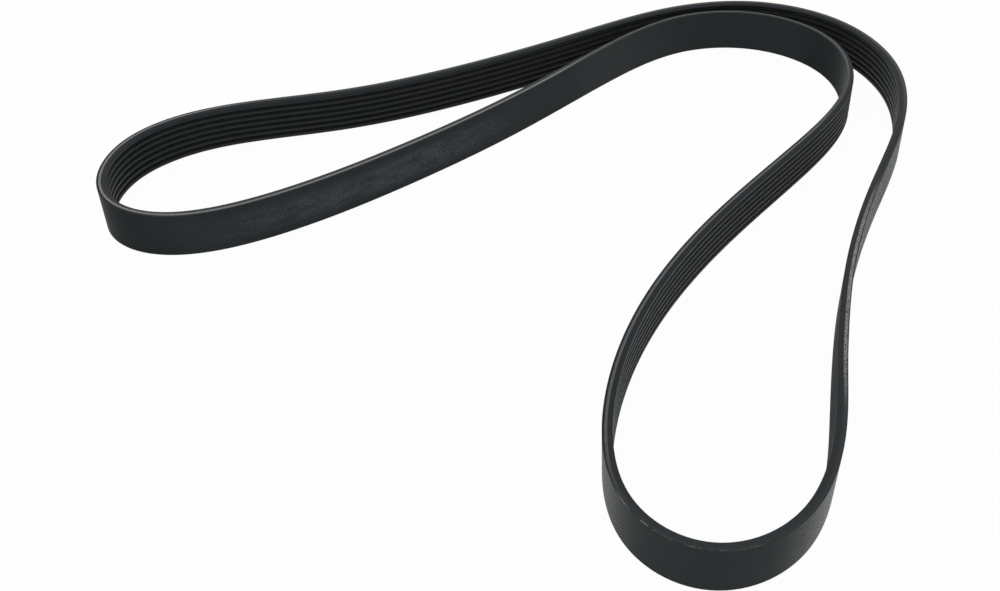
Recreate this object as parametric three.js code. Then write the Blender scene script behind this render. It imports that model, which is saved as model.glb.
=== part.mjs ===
// Serpentine belt of a car engine, seven ribs wide, standing on its cut edge as it was laid down.
// Millimetres, Z up. The belt is one closed moulded piece with its ribs on the inside of the loop.
import * as THREE from 'three';

// Driving dimensions
const BELT_LENGTH = 1842; // once round, along the cords
const RIB_COUNT = 7;
const RIB_PITCH = 3.56; // from rib to rib
const RIB_HEIGHT = 2.3; // from the bottom of a groove to the tip of a rib
const RIB_ANGLE = 40; // between the two flanks of a rib, in degrees
const TIP_WIDTH = 1.26; // across a rib's tip, before its corners are cut
const TIP_CORNER = 0.3; // cut off each corner of a tip, along the tip and along the flank
const THICKNESS = 4.5; // from the back to the tips
const CORD_DEPTH = 1.2; // from the back to the middle of the cords
const STATION_COUNT = 130; // cross sections round the loop
const STRAIGHT_RADIUS = 900; // a bend wider than this is given no more sections than this one

// Sizes worked out from them
const BELT_WIDTH = RIB_COUNT * RIB_PITCH;
const BODY = THICKNESS - RIB_HEIGHT; // from the back to the bottom of the grooves
const FLANK_LEAN = Math.tan(THREE.MathUtils.degToRad(RIB_ANGLE / 2));
const CORNER_RISE = TIP_CORNER * Math.cos(THREE.MathUtils.degToRad(RIB_ANGLE / 2));

// Handles that pull the cord line, seen from above, clockwise: X to the right, Y to the back
const LAY = [
  [-216, 1], // tip of the left loop
  [-219, 54],
  [-177, 87], // long run at the back
  [-106, 98],
  [-43, 125],
  [22, 162],
  [80, 201],
  [140, 213], // outer bend
  [194, 188],
  [220, 135],
  [212, 74], // right run
  [180, 9],
  [156, -58],
  [144, -130],
  [131, -192], // front loop
  [85, -216],
  [44, -188],
  [43, -128], // up the left side of the front loop
  [64, -65],
  [102, -6],
  [149, 50],
  [188, 103], // inner bend, where the belt turns the other way
  [189, 160],
  [148, 196],
  [91, 195],
  [44, 151],
  [-5, 96], // long run at the front
  [-59, 48],
  [-117, 4],
  [-173, -20],
];

const SAMPLES = LAY.length * 40; // short steps that the line is measured in

// A closed smooth line that its handles pull, with an even bend from piece to piece
class HandledLoop extends THREE.Curve {
  constructor(handles) {
    super();
    this.handles = handles;
  }

  blend(t, weights) {
    const count = this.handles.length;
    const place = t * count;
    const first = Math.floor(place);
    const sum = new THREE.Vector2();
    weights(place - first).forEach((weight, step) => {
      sum.addScaledVector(this.handles[(first + step) % count], weight);
    });
    return new THREE.Vector3(sum.x, sum.y, 0);
  }

  getPoint(t) {
    return this.blend(t, (u) => [
      (1 - u) ** 3 / 6,
      (3 * u ** 3 - 6 * u ** 2 + 4) / 6,
      (-3 * u ** 3 + 3 * u ** 2 + 3 * u + 1) / 6,
      u ** 3 / 6,
    ]);
  }

  getTangent(t) {
    return this.blend(t, (u) => [
      -((1 - u) ** 2) / 2,
      (3 * u ** 2 - 4 * u) / 2,
      (-3 * u ** 2 + 2 * u + 1) / 2,
      u ** 2 / 2,
    ]).normalize();
  }
}

// The cord line, drawn to the belt's true length
function cordLine() {
  const drawn = new HandledLoop(LAY.map(([x, y]) => new THREE.Vector2(x, y)));
  let length = 0;
  for (let i = 0; i < SAMPLES; i += 1) {
    length += drawn.getPoint(i / SAMPLES).distanceTo(drawn.getPoint((i + 1) / SAMPLES));
  }
  const scale = BELT_LENGTH / length;
  return new HandledLoop(drawn.handles.map((handle) => handle.clone().multiplyScalar(scale)));
}

// Where the cross sections stand: closer together where the belt bends more
function stations(loop) {
  const reached = [0];
  for (let i = 0; i < SAMPLES; i += 1) {
    const step = loop.getPoint(i / SAMPLES).distanceTo(loop.getPoint((i + 1) / SAMPLES));
    const turn = loop.getTangent(i / SAMPLES).angleTo(loop.getTangent((i + 1) / SAMPLES));
    reached.push(reached[i] + step * Math.sqrt(turn / step + 1 / STRAIGHT_RADIUS));
  }
  const places = [];
  for (let i = 0, sample = 0; i < STATION_COUNT; i += 1) {
    const wanted = (reached[SAMPLES] * i) / STATION_COUNT;
    while (reached[sample + 1] <= wanted) sample += 1;
    const part = (wanted - reached[sample]) / (reached[sample + 1] - reached[sample]);
    places.push((sample + part) / SAMPLES);
  }
  return places;
}

// One rib across the belt: depth from the back, and height above the rib's own lower side
function ribPoints() {
  const middle = RIB_PITCH / 2;
  const tip = TIP_WIDTH / 2;
  const foot = tip + RIB_HEIGHT * FLANK_LEAN;
  const half = [
    [BODY, foot],
    [THICKNESS - CORNER_RISE, tip + CORNER_RISE * FLANK_LEAN],
    [THICKNESS, tip - TIP_CORNER],
  ];
  const lower = half.map(([depth, away]) => [depth, middle - away]);
  const upper = half.map(([depth, away]) => [depth, middle + away]).reverse();
  return [...lower, ...upper];
}

// The belt cut across: up the back, along the upper cut edge, down over the ribs
function section() {
  const points = [
    [0, 0],
    [0, BELT_WIDTH],
    [BODY, BELT_WIDTH],
  ];
  for (let rib = RIB_COUNT - 1; rib >= 0; rib -= 1) {
    const raised = ribPoints().map(([depth, height]) => [depth, height + rib * RIB_PITCH]);
    points.push(...raised.reverse());
  }
  points.push([BODY, 0]);
  return points;
}

// The section carried round the cord line and closed on itself, with its middle at the origin
function beltGeometry() {
  const loop = cordLine();
  const profile = section();
  const positions = [];
  for (const t of stations(loop)) {
    const cord = loop.getPoint(t);
    const along = loop.getTangent(t);
    const inward = new THREE.Vector3(along.y, -along.x, 0);
    for (const [depth, height] of profile) {
      const point = cord.clone().addScaledVector(inward, depth - CORD_DEPTH);
      positions.push(point.x, point.y, height);
    }
  }
  const across = profile.length;
  const indices = [];
  for (let ring = 0; ring < STATION_COUNT; ring += 1) {
    const here = ring * across;
    const next = ((ring + 1) % STATION_COUNT) * across;
    for (let i = 0; i < across; i += 1) {
      const j = (i + 1) % across;
      indices.push(here + i, next + j, next + i, here + i, here + j, next + j);
    }
  }
  const geometry = new THREE.BufferGeometry();
  geometry.setAttribute('position', new THREE.Float32BufferAttribute(positions, 3));
  geometry.setIndex(indices);
  geometry.computeVertexNormals();
  geometry.computeBoundingBox();
  const middle = geometry.boundingBox.getCenter(new THREE.Vector3());
  geometry.translate(-middle.x, -middle.y, 0);
  return geometry;
}

const rubber = new THREE.MeshStandardMaterial({ color: 0x2a2d2f, roughness: 0.75, metalness: 0 });

const group = new THREE.Group();
group.name = 'serpentine_belt';
const belt = new THREE.Mesh(beltGeometry(), rubber);
belt.name = 'belt';
group.add(belt);

export default group;
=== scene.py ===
# Serpentine belt with seven ribs, standing on its cut edge on a pale floor
import math
import bmesh
import bpy
from mathutils import Matrix, Vector


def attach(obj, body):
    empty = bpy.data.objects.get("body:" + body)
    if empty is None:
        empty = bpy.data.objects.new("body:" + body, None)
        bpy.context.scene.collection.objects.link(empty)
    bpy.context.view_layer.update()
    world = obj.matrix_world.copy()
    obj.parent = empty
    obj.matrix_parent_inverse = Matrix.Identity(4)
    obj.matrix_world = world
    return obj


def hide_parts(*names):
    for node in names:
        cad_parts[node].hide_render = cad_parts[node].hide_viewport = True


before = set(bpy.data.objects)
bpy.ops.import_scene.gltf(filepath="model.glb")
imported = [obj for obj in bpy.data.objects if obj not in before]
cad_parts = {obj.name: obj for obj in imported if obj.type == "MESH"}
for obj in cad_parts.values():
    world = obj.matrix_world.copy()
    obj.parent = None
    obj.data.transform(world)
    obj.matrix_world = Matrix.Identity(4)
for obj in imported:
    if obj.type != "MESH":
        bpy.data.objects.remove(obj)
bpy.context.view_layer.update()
MM = 0.001

# The belt, in metres, as its maker sizes it
BELT_LENGTH = 1842 * MM
RIB_COUNT = 7
RIB_PITCH = 3.56 * MM
RIB_HEIGHT = 2.3 * MM
RIB_HALF_ANGLE = math.radians(20)
TIP_WIDTH = 1.26 * MM
THICKNESS = 4.5 * MM
CORD_DEPTH = 1.2 * MM
BELT_WIDTH = RIB_COUNT * RIB_PITCH
BODY = THICKNESS - RIB_HEIGHT
TIP_ROUND = 0.42 * MM
GROOVE_ROUND = 0.25 * MM
BACK_ROUND = 0.06 * MM
ROUND_SEGMENTS = 3
RING_COUNT = 640
JOIN = 0.001 * MM
BACK, CUT, RIBS = range(3)

# Handles that pull the cord line, in millimetres, seen from above, clockwise
LAY = [
    (-216, 1), (-219, 54),  # tip of the left loop
    (-177, 87), (-106, 98), (-43, 125), (22, 162), (80, 201),  # long run at the back
    (140, 213), (194, 188), (220, 135),  # outer bend
    (212, 74), (180, 9), (156, -58), (144, -130),  # right run
    (131, -192), (85, -216), (44, -188),  # front loop
    (43, -128), (64, -65), (102, -6), (149, 50),  # up the left side of the front loop
    (188, 103), (189, 160), (148, 196), (91, 195), (44, 151),  # inner bend
    (-5, 96), (-59, 48), (-117, 4), (-173, -20),  # long run at the front
]
STEPS_PER_HANDLE = 40

# Where the belt isn't quite upright: place along it, reach, and how far foot and top stand out
LEANS = [
    (1805 * MM, 65 * MM, 1.5 * MM, 0),
    (797 * MM, 45 * MM, 0.2 * MM, 0.75 * MM),
    (545 * MM, 90 * MM, 0.5 * MM, 0.35 * MM),
]

# Wear of the back, and painted highlights on it, along the belt from the left tip: from where, to
# where, and how softly
# Painted highlight: a lighter, speckled patch on the back of the long run at the front
HIGHLIGHT_RUN = (1570 * MM, 1715 * MM, 45 * MM)
FILLED_LOOP = (858 * MM, 922 * MM, 18 * MM)
FILLED_RUN = (1500 * MM, BELT_LENGTH - 25 * MM, 20 * MM)
POLISHED_LOOP = (805 * MM, 852 * MM, 15 * MM)
DULL_BEND = (1240 * MM, 1330 * MM, 20 * MM)
DULL_TIP = (BELT_LENGTH - 85 * MM, BELT_LENGTH - 25 * MM, 15 * MM)
# Painted highlight: the top corner of the back on the long front run is painted lighter
RIM_HIGHLIGHT_RUN = (1500 * MM, 1750 * MM, 30 * MM)

# Wear of the cut edge, with painted shade on its inner bend and a painted highlight on its right
# run, in the same way; the first two go on past the left tip
CORDS_BARED = (1500 * MM, 1902 * MM, 30 * MM)
TIP_CUT_DEEP = (1750 * MM, 1902 * MM, 30 * MM)
CUT_DEEP = (945 * MM, 1220 * MM, 25 * MM)
# Painted shade: the cut edge on the inner bend, painted with black skin and its band set further
# from the back
CUT_SHADED_BEND = (1290 * MM, 1495 * MM, 50 * MM)
# Painted highlight: on this stretch of the right run the cord band is painted in pale specks
CUT_RUBBED_AND_HIGHLIT = (640 * MM, 776 * MM, 20 * MM)
CUT_MATT = (560 * MM, 632 * MM, 30 * MM)
SKIN_GONE = (1500 * MM, 1750 * MM, 25 * MM)
CLOTH_BARED = (864 * MM, 930 * MM, 8 * MM)

# Wear of the ribs, in the same way
RIBS_DULL = (720 * MM, 865 * MM, 30 * MM)

# The photograph's camera
SENSOR_WIDTH = 36.0
PHOTO_WIDTH = 1000
FOCAL_PIXELS = 1133.6
CAMERA_TILT = math.radians(40.67)
CAMERA_DISTANCE = 0.566
CAMERA_AIM = Vector((0.04479, -0.02127, 0))
CENTRE_PIXELS = Vector((104.85, -30.81))

# The studio
WHITE = (1, 1, 1, 1)
PAPER_WHITE = (0.95, 0.95, 0.95, 1)
FILL = 0.6
FLOOR_WHITE = 0.97
FLOOR_REACH = 4.0
FLOOR_GAP = 0.02 * MM
KEY_PLACE = (-0.1, 1.3, 0.95)
KEY_WIDTH = 1.6
KEY_HEIGHT = 0.5
KEY_POWER = 4.5


# Camera and light

def make_camera():
    data = bpy.data.cameras.new("camera")
    data.sensor_width = SENSOR_WIDTH
    data.lens = FOCAL_PIXELS / PHOTO_WIDTH * SENSOR_WIDTH
    data.shift_x = -CENTRE_PIXELS.x / PHOTO_WIDTH
    data.shift_y = CENTRE_PIXELS.y / PHOTO_WIDTH
    camera = bpy.data.objects.new("camera", data)
    back = Vector((0, -math.cos(CAMERA_TILT), math.sin(CAMERA_TILT)))
    camera.location = CAMERA_AIM + CAMERA_DISTANCE * back
    camera.rotation_euler = back.to_track_quat("Z", "Y").to_euler()
    bpy.context.scene.collection.objects.link(camera)
    bpy.context.scene.camera = camera


def make_key_lamp():
    """A long soft lamp high behind the belt, turned towards it."""
    data = bpy.data.lights.new("key", "AREA")
    data.shape = "RECTANGLE"
    data.size = KEY_WIDTH
    data.size_y = KEY_HEIGHT
    data.energy = KEY_POWER
    lamp = bpy.data.objects.new("key", data)
    lamp.location = KEY_PLACE
    lamp.rotation_euler = Vector(KEY_PLACE).to_track_quat("Z", "Y").to_euler()
    bpy.context.scene.collection.objects.link(lamp)


def seen_share(tree):
    """One where the camera sees a surface, or sees it in a gloss or through glass."""
    path = tree.nodes.new("ShaderNodeLightPath")
    straight = maths(tree, "MAXIMUM", path.outputs["Is Camera Ray"], path.outputs["Is Glossy Ray"])
    return maths(tree, "MAXIMUM", straight, path.outputs["Is Transmission Ray"])


def make_world():
    """Even white light from all round, weaker on the belt than where it is seen."""
    world = bpy.data.worlds.new("studio")
    world.use_nodes = True
    tree = world.node_tree
    background = tree.nodes["Background"]
    background.inputs["Color"].default_value = WHITE
    strength = maths(tree, "MULTIPLY_ADD", seen_share(tree), 1 - FILL, FILL)
    tree.links.new(strength, background.inputs["Strength"])
    bpy.context.scene.world = world


def floor_paper():
    """White paper that keeps a faint shadow: most of its white is its own where it is seen."""
    paper = bpy.data.materials.new("studio_paper")
    paper.use_nodes = True
    tree = paper.node_tree
    shader = tree.nodes["Principled BSDF"]
    shader.inputs["Base Color"].default_value = PAPER_WHITE
    shader.inputs["Roughness"].default_value = 1.0
    shader.inputs["Specular IOR Level"].default_value = 0.0
    glow = node(tree, "ShaderNodeEmission", {"Color": WHITE, "Strength": 1.0})
    share = maths(tree, "MULTIPLY", seen_share(tree), FLOOR_WHITE)
    mix = node(tree, "ShaderNodeMixShader", {0: share, 1: shader.outputs[0], 2: glow})
    tree.links.new(mix, tree.nodes["Material Output"].inputs["Surface"])
    return paper


def make_floor():
    grid = bmesh.new()
    bmesh.ops.create_grid(grid, x_segments=1, y_segments=1, size=FLOOR_REACH)
    bmesh.ops.translate(grid, vec=(0, 0, -FLOOR_GAP), verts=grid.verts[:])
    mesh = bpy.data.meshes.new("floor")
    grid.to_mesh(mesh)
    grid.free()
    mesh.materials.append(floor_paper())
    floor = bpy.data.objects.new("floor", mesh)
    bpy.context.scene.collection.objects.link(floor)


# The route of the cord line

def blended(t, weights):
    """The four handles round a place on the route, each with its own weight, added up."""
    place = t * len(LAY)
    first = math.floor(place)
    total = Vector((0, 0, 0))
    for step, weight in enumerate(weights(place - first)):
        x, y = LAY[(first + step) % len(LAY)]
        total += weight * Vector((x, y, 0))
    return total


def route_point(t):
    return blended(t, lambda u: (
        (1 - u) ** 3 / 6,
        (3 * u ** 3 - 6 * u ** 2 + 4) / 6,
        (-3 * u ** 3 + 3 * u ** 2 + 3 * u + 1) / 6,
        u ** 3 / 6,
    ))


def route_heading(t):
    return blended(t, lambda u: (
        -(1 - u) ** 2 / 2,
        (3 * u ** 2 - 4 * u) / 2,
        (-3 * u ** 2 + 2 * u + 1) / 2,
        u ** 2 / 2,
    )).normalized()


def even_steps():
    """Places on the route, one for each ring, the same length apart; and the belt's true scale."""
    samples = len(LAY) * STEPS_PER_HANDLE
    reached = [0.0]
    for i in range(samples):
        step = (route_point((i + 1) / samples) - route_point(i / samples)).length
        reached.append(reached[-1] + step)
    steps = []
    sample = 0
    for ring in range(RING_COUNT):
        wanted = reached[-1] * ring / RING_COUNT
        while reached[sample + 1] <= wanted:
            sample += 1
        part = (wanted - reached[sample]) / (reached[sample + 1] - reached[sample])
        steps.append((sample + part) / samples)
    return steps, BELT_LENGTH / reached[-1]


def belt_places():
    """Where each ring of the straight belt goes: X inward from the back, Y up, Z ahead."""
    steps, scale = even_steps()
    places = []
    for t in steps:
        heading = route_heading(t)
        inward = Vector((heading.y, -heading.x, 0))
        place = Matrix((inward, Vector((0, 0, 1)), heading)).transposed().to_4x4()
        place.translation = route_point(t) * scale - inward * CORD_DEPTH
        places.append(place)
    xs = [place.translation.x for place in places]
    ys = [place.translation.y for place in places]
    middle = Vector((min(xs) + max(xs), min(ys) + max(ys), 0)) / 2
    for place in places:
        place.translation -= middle
    return places


# The belt, cut straight and then bent round its route

def section_corners():
    """Corners of the cut belt, X deep and Y high, each with the rounding that it gets."""
    lean = RIB_HEIGHT * math.tan(RIB_HALF_ANGLE)
    flat = (RIB_PITCH - TIP_WIDTH) / 2 - lean
    corners = [((0, BELT_WIDTH), BACK_ROUND), ((0, 0), BACK_ROUND)]
    for rib in range(RIB_COUNT):
        lowest = rib == 0
        highest = rib == RIB_COUNT - 1
        low = 0 if lowest else rib * RIB_PITCH + flat
        high = BELT_WIDTH if highest else (rib + 1) * RIB_PITCH - flat
        corners.append(((BODY, low), BACK_ROUND if lowest else GROOVE_ROUND))
        corners.append(((THICKNESS, low + lean), TIP_ROUND))
        corners.append(((THICKNESS, high - lean), TIP_ROUND))
        corners.append(((BODY, high), BACK_ROUND if highest else GROOVE_ROUND))
    return corners


def draw_section(belt):
    """The cross section as a closed line of edges."""
    corners = section_corners()
    belt.faces.new([belt.verts.new((x, y, 0)) for (x, y), _ in corners])
    belt.verts.ensure_lookup_table()
    drawn = list(belt.verts)
    for rounding in (BACK_ROUND, GROOVE_ROUND, TIP_ROUND):
        chosen = [v for v, (_, r) in zip(drawn, corners) if r == rounding]
        bmesh.ops.bevel(belt, geom=chosen, offset=rounding, segments=ROUND_SEGMENTS,
                        profile=0.5, affect="VERTICES", material=-1)
    bmesh.ops.delete(belt, geom=belt.faces[:], context="FACES_ONLY")


def extrude_straight(belt):
    """The section drawn out to the belt's length and cut into rings."""
    grown = bmesh.ops.extrude_edge_only(belt, edges=belt.edges[:])["geom"]
    ends = [g for g in grown if isinstance(g, bmesh.types.BMVert)]
    bmesh.ops.translate(belt, vec=(0, 0, BELT_LENGTH), verts=ends)
    lengths = [e for e in belt.edges if abs(e.verts[0].co.z - e.verts[1].co.z) > BELT_LENGTH / 2]
    bmesh.ops.subdivide_edges(belt, edges=lengths, cuts=RING_COUNT - 1, use_grid_fill=True)
    bmesh.ops.recalc_face_normals(belt, faces=belt.faces[:])


def lay_out_faces(belt):
    """Each face's finish, a map in metres along and across the belt, and each point's depth."""
    sheet = belt.loops.layers.uv.new("belt_map")
    depth = belt.verts.layers.float.new("depth")
    for v in belt.verts:
        v[depth] = v.co.x
    for face in belt.faces:
        face.smooth = True
        middle = face.calc_center_median()
        at_edge = min(middle.y, BELT_WIDTH - middle.y) < BACK_ROUND
        if middle.x < BACK_ROUND / 2:
            face.material_index = BACK
        elif at_edge and middle.x < BODY:
            face.material_index = CUT
        else:
            face.material_index = RIBS
        for loop in face.loops:
            place = loop.vert.co
            loop[sheet].uv = (place.z, place.x if face.material_index == CUT else place.y)


def stand_out(along, height):
    """How far the belt stands out of its route, at a place along it and a height."""
    out = 0
    for at, reach, foot, top in LEANS:
        away = abs(along - at)
        nearest = min(away, BELT_LENGTH - away)
        share = (1 + math.cos(math.pi * min(nearest / reach, 1))) / 2
        out += share * (foot + (top - foot) * height / BELT_WIDTH)
    return out


def bend_round(belt):
    """Every ring goes to its place on the route, and the two ends are joined."""
    places = belt_places()
    for v in belt.verts:
        ring = round(v.co.z / BELT_LENGTH * RING_COUNT) % RING_COUNT
        depth = v.co.x - stand_out(v.co.z, v.co.y)
        v.co = places[ring] @ Vector((depth, v.co.y, 0))
    bmesh.ops.remove_doubles(belt, verts=belt.verts[:], dist=JOIN)
    bmesh.ops.recalc_face_normals(belt, faces=belt.faces[:])


def make_belt():
    belt = bmesh.new()
    draw_section(belt)
    extrude_straight(belt)
    lay_out_faces(belt)
    bend_round(belt)
    mesh = bpy.data.meshes.new("ribbed_belt")
    belt.to_mesh(mesh)
    belt.free()
    for material in (woven_back(), cut_edge(), rib_rubber()):
        mesh.materials.append(material)
    piece = bpy.data.objects.new("ribbed_belt", mesh)
    bpy.context.scene.collection.objects.link(piece)
    piece.modifiers.new("even_faces", "WEIGHTED_NORMAL")
    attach(piece, "root")
    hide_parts("belt")


# What every finish is put together from

SHEEN_ROUGHNESS = 0.25
GLOSS_TINT = (0.92, 1.0, 1.02)
RUBBER_GLOSS = 0.25
RUBBER_SHEEN = 0.0


def start_finish(name, gloss, sheen):
    """A new material's node tree and shader, with what is the same all over it."""
    material = bpy.data.materials.new(name)
    material.use_nodes = True
    shader = material.node_tree.nodes["Principled BSDF"]
    shader.inputs["Specular IOR Level"].default_value = gloss
    shader.inputs["Sheen Weight"].default_value = sheen
    shader.inputs["Sheen Roughness"].default_value = SHEEN_ROUGHNESS
    shader.inputs["Specular Tint"].default_value = (*GLOSS_TINT, 1)
    return material, material.node_tree, shader


def end_finish(tree, shader, colour, roughness, height, relief):
    """The shader takes its colour and roughness, and a relief that is so many metres high."""
    tree.links.new(colour, shader.inputs["Base Color"])
    tree.links.new(roughness, shader.inputs["Roughness"])
    bump = node(tree, "ShaderNodeBump", {"Height": height, "Distance": relief, "Strength": 1.0})
    tree.links.new(bump, shader.inputs["Normal"])


def node(tree, kind, inputs, output=0, **settings):
    """A node's output; its inputs take plain values or other outputs."""
    made = tree.nodes.new(kind)
    for key, value in settings.items():
        setattr(made, key, value)
    for key, value in inputs.items():
        if isinstance(value, bpy.types.NodeSocket):
            tree.links.new(value, made.inputs[key])
        else:
            made.inputs[key].default_value = value
    return made.outputs[output]


def maths(tree, operation, *values):
    return node(tree, "ShaderNodeMath", dict(enumerate(values)), operation=operation)


def times(tree, *values):
    product = values[0]
    for value in values[1:]:
        product = maths(tree, "MULTIPLY", product, value)
    return product


def soft_step(tree, value, start, end, low=0.0, high=1.0):
    """Low up to the start, high from the end on, and smooth between them."""
    inputs = {"Value": value, "From Min": start, "From Max": end, "To Min": low, "To Max": high}
    return node(tree, "ShaderNodeMapRange", inputs, interpolation_type="SMOOTHSTEP")


def stretch(tree, value, start, end, soft):
    """One between start and end, and nothing outside them."""
    begun = soft_step(tree, value, start - soft, start + soft)
    left = soft_step(tree, value, end - soft, end + soft, 1.0, 0.0)
    return times(tree, begun, left)


def mixed_value(tree, share, first, second):
    return node(tree, "ShaderNodeMix", {0: share, 2: first, 3: second})


def mixed(tree, share, first, second):
    """The first colour where the share is nothing, and the second where it is one."""
    made = tree.nodes.new("ShaderNodeMix")
    made.data_type = "RGBA"
    factor, *_ = [i for i in made.inputs if i.identifier == "Factor_Float"]
    ends = [i for i in made.inputs if i.type == "RGBA"]
    for socket, value in zip((factor, *ends), (share, first, second)):
        if isinstance(value, bpy.types.NodeSocket):
            tree.links.new(value, socket)
        else:
            socket.default_value = value if socket == factor else (*value, 1)
    return next(o for o in made.outputs if o.type == "RGBA")


def belt_measures(tree):
    """Metres along the belt and across it, from the belt's own map."""
    sheet = node(tree, "ShaderNodeUVMap", {}, uv_map="belt_map")
    parts = tree.nodes.new("ShaderNodeSeparateXYZ")
    tree.links.new(sheet, parts.inputs[0])
    return parts.outputs["X"], parts.outputs["Y"]


def pattern(tree, along, across, size, detail, drawn_out):
    """Noise that meets itself where the belt does, drawn out along the belt."""
    radius = BELT_LENGTH / (2 * math.pi) / drawn_out
    turn = maths(tree, "MULTIPLY", along, 2 * math.pi / BELT_LENGTH)
    x = maths(tree, "MULTIPLY", maths(tree, "COSINE", turn), radius)
    y = maths(tree, "MULTIPLY", maths(tree, "SINE", turn), radius)
    place = node(tree, "ShaderNodeCombineXYZ", {"X": x, "Y": y, "Z": across})
    inputs = {"Vector": place, "Scale": 1 / size, "Detail": detail}
    return node(tree, "ShaderNodeTexNoise", inputs)


# The cloth on the back

THREAD_PITCH = 0.855 * MM
THREAD_BIAS = math.radians(58)
THREADS_ROUND = round(BELT_LENGTH * math.sin(THREAD_BIAS) / THREAD_PITCH)
FILLED_THREADS = 0.35
CLOTH_GLOSS = 0.2
CLOTH_SHEEN = 0.25
CLOTH_RELIEF = 0.05 * MM
GRAIN_HEIGHT = 0.12

CLOTH_DARK = (0.019, 0.0225, 0.0237)
CLOTH_LIGHT = (0.0255, 0.0295, 0.031)
# Painted highlight along the top corner of the back
RIM_HIGHLIGHT = (0.10, 0.10, 0.108)
# Painted highlight on the long front run: its lighter colour and its specks
CLOTH_HIGHLIGHT = (0.084, 0.096, 0.114)
CLOTH_HIGHLIGHT_SPECKS = (0.24, 0.262, 0.285)

# Patterns: size across the belt, detail, and how far each is drawn out along it
CLOTH_BLOTCHES = (14 * MM, 4.0, 1.0)
CLOTH_GRAIN = (0.35 * MM, 2.0, 1.0)
HIGHLIGHT_STREAKS = (4 * MM, 5.0, 3.0)

# Across the belt: where the painted highlight on the long front run lies, and the rim that is
# painted with a highlight
HIGHLIGHT_ACROSS = (5 * MM, 19 * MM, 4 * MM)
RIM_HIGHLIGHT_HEIGHTS = (BELT_WIDTH - 0.6 * MM, BELT_WIDTH - 0.3 * MM)

# How much painted highlight: from which strength of a pattern to which, and the shares that they
# give
HIGHLIGHT_IN_STREAKS = (0.3, 0.68, 0.25, 1.0)
HIGHLIGHT_ON_THREADS = (0.0, 0.6, 0.2, 1.3)
HIGHLIGHT_IN_GRAIN = (0.35, 0.6, 0.25, 1.2)
SPECKS_IN_GRAIN = (0.54, 0.62)

# Roughness, from between the threads to their crowns, and what wear makes of it
THREAD_ROUGHNESS = (0.1, 0.8, 0.75, 0.25)
POLISHED_LESS = 0.22
DULL_ROUGHNESS = 1.0


def weave(tree, along, across):
    """Two families of threads on the bias; one where two threads cross, nothing between them."""
    turns = maths(tree, "MULTIPLY", along, THREADS_ROUND / BELT_LENGTH)
    rise = maths(tree, "MULTIPLY", across, math.cos(THREAD_BIAS) / THREAD_PITCH)
    crowns = []
    for operation in ("ADD", "SUBTRACT"):
        turn = maths(tree, "MULTIPLY", maths(tree, operation, turns, rise), 2 * math.pi)
        crowns.append(maths(tree, "MULTIPLY_ADD", maths(tree, "COSINE", turn), -0.5, 0.5))
    return times(tree, *crowns)


def highlight_share(tree, along, across, threads, grain):
    """The painted highlight on the long run at the front, in streaks and on the threads' crowns.
    """
    streaks = pattern(tree, along, across, *HIGHLIGHT_STREAKS)
    return times(
        tree,
        stretch(tree, along, *HIGHLIGHT_RUN),
        stretch(tree, across, *HIGHLIGHT_ACROSS),
        soft_step(tree, streaks, *HIGHLIGHT_IN_STREAKS),
        soft_step(tree, threads, *HIGHLIGHT_ON_THREADS),
        soft_step(tree, grain, *HIGHLIGHT_IN_GRAIN),
    )


def cloth_colour(tree, along, across, threads, grain):
    blotches = pattern(tree, along, across, *CLOTH_BLOTCHES)
    # A painted highlight, lighter with specks, on the long run at the front
    highlight = highlight_share(tree, along, across, threads, grain)
    specks = times(tree, highlight, threads, soft_step(tree, grain, *SPECKS_IN_GRAIN))
    # A painted highlight along the top corner of the back on the long front run
    at_rim = soft_step(tree, across, *RIM_HIGHLIGHT_HEIGHTS)
    rim_highlight = times(tree, at_rim, stretch(tree, along, *RIM_HIGHLIGHT_RUN))
    clean = mixed(tree, blotches, CLOTH_DARK, CLOTH_LIGHT)
    highlighted = mixed(tree, highlight, clean, CLOTH_HIGHLIGHT)
    speckled = mixed(tree, specks, highlighted, CLOTH_HIGHLIGHT_SPECKS)
    return mixed(tree, rim_highlight, speckled, RIM_HIGHLIGHT)


def cloth_roughness(tree, along, crowns):
    in_bend = stretch(tree, along, *DULL_BEND)
    at_tip = stretch(tree, along, *DULL_TIP)
    dull = maths(tree, "MAXIMUM", in_bend, at_tip)
    polished = stretch(tree, along, *POLISHED_LOOP)
    worn = maths(tree, "MULTIPLY_ADD", polished, -POLISHED_LESS, 1.0)
    cloth = times(tree, soft_step(tree, crowns, *THREAD_ROUGHNESS), worn)
    return mixed_value(tree, dull, cloth, DULL_ROUGHNESS)


def woven_back():
    """Bias cloth whose threads stand out, less so where rubber fills the gaps between them."""
    material, tree, shader = start_finish("woven_back", CLOTH_GLOSS, CLOTH_SHEEN)
    along, across = belt_measures(tree)
    threads = weave(tree, along, across)
    grain = pattern(tree, along, across, *CLOTH_GRAIN)
    in_loop = stretch(tree, along, *FILLED_LOOP)
    on_run = stretch(tree, along, *FILLED_RUN)
    filled = maths(tree, "MAXIMUM", in_loop, on_run)
    crowns = times(tree, threads, soft_step(tree, filled, 0.0, 1.0, 1.0, FILLED_THREADS))
    colour = cloth_colour(tree, along, across, threads, grain)
    roughness = cloth_roughness(tree, along, crowns)
    height = maths(tree, "MULTIPLY_ADD", grain, GRAIN_HEIGHT, crowns)
    end_finish(tree, shader, colour, roughness, height, CLOTH_RELIEF)
    return material


# The cut edge: a rubber skin at the back, a band of cut cords, then plain cut rubber

SKIN_DARK = (0.008, 0.0095, 0.0105)
SKIN_LIGHT = (0.014, 0.016, 0.0175)
# On the inner bend this black skin is painted shade
SKIN_BLACK = (0.003, 0.0033, 0.0036)
BAND_DARK = (0.010, 0.0115, 0.0128)
BAND_LIGHT = (0.021, 0.0225, 0.0245)
FIBRE_DARK = (0.11, 0.11, 0.118)
FIBRE_LIGHT = (0.29, 0.287, 0.30)
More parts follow.
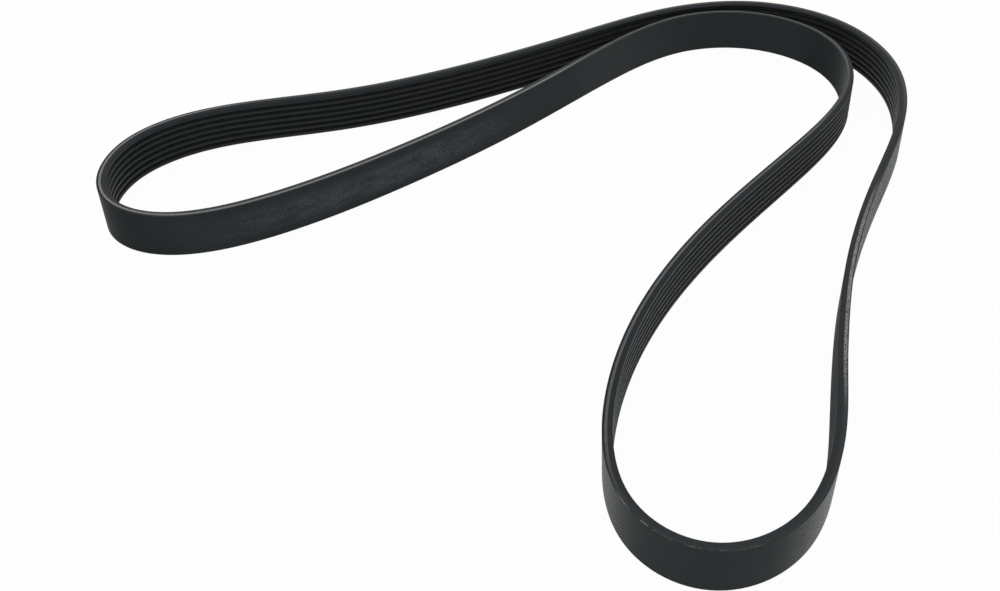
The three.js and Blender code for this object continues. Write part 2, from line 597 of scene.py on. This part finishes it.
# Painted highlight: pale specks in the cord band on the right run
HIGHLIGHT_SPECKS_DARK = (0.035, 0.035, 0.037)
HIGHLIGHT_SPECKS_LIGHT = (0.42, 0.415, 0.43)
CLOTH_ENDS = (0.35, 0.345, 0.34)

# Patterns: size across the belt, detail, and how far each is drawn out along it
CUT_CRUMBS = (0.5 * MM, 3.0, 1.0)
CUT_STROKES = (0.4 * MM, 2.0, 12.0)
CLOTH_DASHES = (0.45 * MM, 2.0, 9.0)

# From which strength of a pattern to which the darker colour gives way to the lighter one
SKIN_IN_STROKES = (0.35, 0.7)
BAND_IN_CRUMBS = (0.3, 0.7)
HIGHLIGHT_SPECKS_IN_CRUMBS = (0.42, 0.62)
CLOTH_IN_DASHES = (0.5, 0.6)

# Depths from the back: where the band starts and ends, and how ragged it is
BAND_STARTS = (0.25 * MM, 0.55 * MM)
BAND_ENDS = (1.45 * MM, 1.8 * MM, 1.0, 0.0)
BAND_RAGGED = 0.5 * MM

# How far wear and the painted shade on the inner bend move the band towards the back, or away from
# it with a minus; the last widens it
MOVED_WITHOUT_SKIN = 0.5 * MM
MOVED_BY_DEEP_CUT = -0.7 * MM
MOVED_IN_SHADED_BEND = -1.2 * MM
MOVED_BY_RUB = -0.1 * MM
WIDENED_BY_RUB = -0.3 * MM

# How much of the cords and of black skin the deep cut and the inner bend show; on the inner bend
# the black skin is painted shade
CORDS_IN_DEEP_OR_SHADED_CUT = 0.45
BLACK_IN_DEEP_OR_SHADED_CUT = 0.85

# How deep the cloth's ends lie, and how clear they are where they begin
CLOTH_DEPTHS = (0.05 * MM, 0.32 * MM, 0.06 * MM)
CLOTH_AT_FIRST = 0.35

SKIN_ROUGHNESS = 0.52
BAND_ROUGHNESS = (0.3, 0.7, 0.35, 0.5)
MATT_ROUGHNESS = 0.72
MATT_DEPTHS = (0.35 * MM, 0.6 * MM)
STROKE_HEIGHT = 0.5
CUT_RELIEF = 0.12 * MM


def cut_wear(tree, along):
    """Shares of each kind of wear at a place along the cut edge, with the painted shade on the
    inner bend and the painted highlight on the right run.
    """
    past_tip = maths(tree, "LESS_THAN", along, BELT_LENGTH / 2)
    onward = maths(tree, "MULTIPLY_ADD", past_tip, BELT_LENGTH, along)
    tip_deep = stretch(tree, onward, *TIP_CUT_DEEP)
    deep = maths(tree, "MAXIMUM", stretch(tree, along, *CUT_DEEP), tip_deep)
    shaded_bend = stretch(tree, along, *CUT_SHADED_BEND)
    # low: the deep cut, and the inner bend with its painted shade
    low = maths(tree, "MAXIMUM", deep, shaded_bend)
    # rubbed: also where the band on the right run is painted in pale specks as a highlight
    rubbed = stretch(tree, along, *CUT_RUBBED_AND_HIGHLIT)
    bared = stretch(tree, onward, *CORDS_BARED)
    return {
        "deep": deep,
        "shaded_bend": shaded_bend,
        "rubbed": rubbed,
        "cords": maths(tree, "MAXIMUM", bared, times(tree, low, CORDS_IN_DEEP_OR_SHADED_CUT)),
        "black": maths(tree, "MAXIMUM", rubbed, times(tree, low, BLACK_IN_DEEP_OR_SHADED_CUT)),
    }


def cord_band(tree, along, depth, crumbs, wear):
    """One in the band of cut cords, between the skin and the plain rubber."""
    centred = maths(tree, "SUBTRACT", depth, BAND_RAGGED / 2)
    measured = maths(tree, "MULTIPLY_ADD", crumbs, BAND_RAGGED, centred)
    moves = (
        (stretch(tree, along, *SKIN_GONE), MOVED_WITHOUT_SKIN),
        (wear["deep"], MOVED_BY_DEEP_CUT),
        (wear["shaded_bend"], MOVED_IN_SHADED_BEND),
        (wear["rubbed"], MOVED_BY_RUB),
    )
    for share, move in moves:
        measured = maths(tree, "MULTIPLY_ADD", share, move, measured)
    widened = maths(tree, "MULTIPLY_ADD", wear["rubbed"], WIDENED_BY_RUB, measured)
    begun = soft_step(tree, measured, *BAND_STARTS)
    left = soft_step(tree, widened, *BAND_ENDS)
    return times(tree, begun, left)


def cloth_ends(tree, along, depth):
    """Dashes where the back's cloth shows along the rim, faint at first and then clear."""
    start, end, _ = CLOTH_BARED
    dashes = pattern(tree, along, depth, *CLOTH_DASHES)
    return times(
        tree,
        stretch(tree, depth, *CLOTH_DEPTHS),
        soft_step(tree, dashes, *CLOTH_IN_DASHES),
        soft_step(tree, along, start, end, CLOTH_AT_FIRST, 1.0),
        stretch(tree, along, *CLOTH_BARED),
    )


def cut_colour(tree, crumbs, strokes, band, wear):
    rubber = mixed(tree, soft_step(tree, strokes, *SKIN_IN_STROKES), SKIN_DARK, SKIN_LIGHT)
    skin = mixed(tree, wear["black"], rubber, SKIN_BLACK)
    coarse = soft_step(tree, crumbs, *BAND_IN_CRUMBS)
    plain = mixed(tree, coarse, BAND_DARK, BAND_LIGHT)
    fibrous = mixed(tree, coarse, FIBRE_DARK, FIBRE_LIGHT)
    # On the right run the band is painted in pale specks: a painted highlight
    highlight_specks = mixed(tree, soft_step(tree, crumbs, *HIGHLIGHT_SPECKS_IN_CRUMBS), HIGHLIGHT_SPECKS_DARK, HIGHLIGHT_SPECKS_LIGHT)
    fibres = mixed(tree, wear["rubbed"], mixed(tree, wear["cords"], plain, fibrous), highlight_specks)
    return mixed(tree, band, skin, fibres)


def cut_roughness(tree, along, depth, crumbs, band, wear):
    worn = mixed_value(tree, band, SKIN_ROUGHNESS, soft_step(tree, crumbs, *BAND_ROUGHNESS))
    beyond_skin = soft_step(tree, depth, *MATT_DEPTHS)
    matt = times(tree, beyond_skin, stretch(tree, along, *CUT_MATT))
    outside_band = maths(tree, "SUBTRACT", 1.0, band)
    dull = maths(tree, "MAXIMUM", matt, times(tree, wear["black"], outside_band))
    return mixed_value(tree, dull, worn, MATT_ROUGHNESS)


def cut_edge():
    """The belt cut across its cords, with the ends of its cords and cloth in it."""
    material, tree, shader = start_finish("cut_edge", RUBBER_GLOSS, RUBBER_SHEEN)
    along, depth = belt_measures(tree)
    crumbs = pattern(tree, along, depth, *CUT_CRUMBS)
    strokes = pattern(tree, along, depth, *CUT_STROKES)
    wear = cut_wear(tree, along)
    band = cord_band(tree, along, depth, crumbs, wear)
    cut = cut_colour(tree, crumbs, strokes, band, wear)
    colour = mixed(tree, cloth_ends(tree, along, depth), cut, CLOTH_ENDS)
    roughness = cut_roughness(tree, along, depth, crumbs, band, wear)
    height = maths(tree, "MULTIPLY_ADD", strokes, STROKE_HEIGHT, crumbs)
    end_finish(tree, shader, colour, roughness, height, CUT_RELIEF)
    return material


# The rubber of the ribs, ground along the belt

# Painted light: the bottom of each groove is painted paler than the ribs, lifting the shade that
# falls there
PAINTED_GROOVE_LIGHT = (0.042, 0.047, 0.049)
RIB_RUBBER = (0.0090, 0.0105, 0.0113)
OUTER_FLANKS = (0.0158, 0.0188, 0.0226)
RIB_STAINS = (0.014, 0.0155, 0.0165)
RUBBED_TIPS = (0.0155, 0.0165, 0.0172)

# Patterns: size across the belt, detail, and how far each is drawn out along it
RIB_BLOTCHES = (11 * MM, 3.0, 1.0)
RIB_GRAIN = (0.3 * MM, 3.0, 1.0)
RIB_SCORES = (0.3 * MM, 2.0, 25.0)

# Where the ribs lie within the outermost flanks, and at which depths their tips are rubbed
WITHIN_FLANKS = (1.0 * MM, BELT_WIDTH - 1.0 * MM, 0.15 * MM)
TIP_DEPTHS = (THICKNESS - 0.45 * MM, THICKNESS - 0.2 * MM)

# From which strength of a pattern to which, and the shares or roughness that they give
STAINS_IN_BLOTCHES = (0.35, 0.7, 0.0, 0.5)
RUBBED_IN_SCORES = (0.35, 0.65, 0.7, 1.0)
RIB_ROUGHNESS = (0.3, 0.7, 0.5, 0.65)

TIP_ROUGHNESS = 0.38
DULL_RIB_ROUGHNESS = 0.62
FLANK_ROUGHNESS = 0.7
SCORE_HEIGHT = 0.3
RIB_RELIEF = 0.012 * MM


def rib_colour(tree, along, height, depth, within, rubbed):
    blotches = pattern(tree, along, height, *RIB_BLOTCHES)
    stained = soft_step(tree, blotches, *STAINS_IN_BLOTCHES)
    # Painted light: paler towards the bottom of each groove
    ribs = mixed(tree, soft_step(tree, depth, BODY, THICKNESS), PAINTED_GROOVE_LIGHT, RIB_RUBBER)
    clean = mixed(tree, within, OUTER_FLANKS, ribs)
    stains = mixed(tree, stained, clean, RIB_STAINS)
    return mixed(tree, rubbed, stains, RUBBED_TIPS)


def rib_roughness(tree, along, grain, within, rubbed):
    ground = soft_step(tree, grain, *RIB_ROUGHNESS)
    tipped = mixed_value(tree, rubbed, ground, TIP_ROUGHNESS)
    dull = stretch(tree, along, *RIBS_DULL)
    ribs = mixed_value(tree, dull, tipped, DULL_RIB_ROUGHNESS)
    return mixed_value(tree, within, FLANK_ROUGHNESS, ribs)


def rib_rubber():
    """Ribs with rubbed tips and fine scores; the bottom of each groove is painted paler, as
    painted light.
    """
    material, tree, shader = start_finish("rib_rubber", RUBBER_GLOSS, RUBBER_SHEEN)
    along, height = belt_measures(tree)
    depth = node(tree, "ShaderNodeAttribute", {}, "Fac", attribute_name="depth")
    grain = pattern(tree, along, height, *RIB_GRAIN)
    scores = pattern(tree, along, height, *RIB_SCORES)
    within = stretch(tree, height, *WITHIN_FLANKS)
    at_tips = soft_step(tree, depth, *TIP_DEPTHS)
    rubbed = times(tree, at_tips, soft_step(tree, scores, *RUBBED_IN_SCORES))
    colour = rib_colour(tree, along, height, depth, within, rubbed)
    roughness = rib_roughness(tree, along, grain, within, rubbed)
    texture = maths(tree, "MULTIPLY_ADD", scores, SCORE_HEIGHT, grain)
    end_finish(tree, shader, colour, roughness, texture, RIB_RELIEF)
    return material


make_camera()
make_world()
make_key_lamp()
make_floor()
make_belt()
bpy.context.scene.view_settings.view_transform = "Standard"
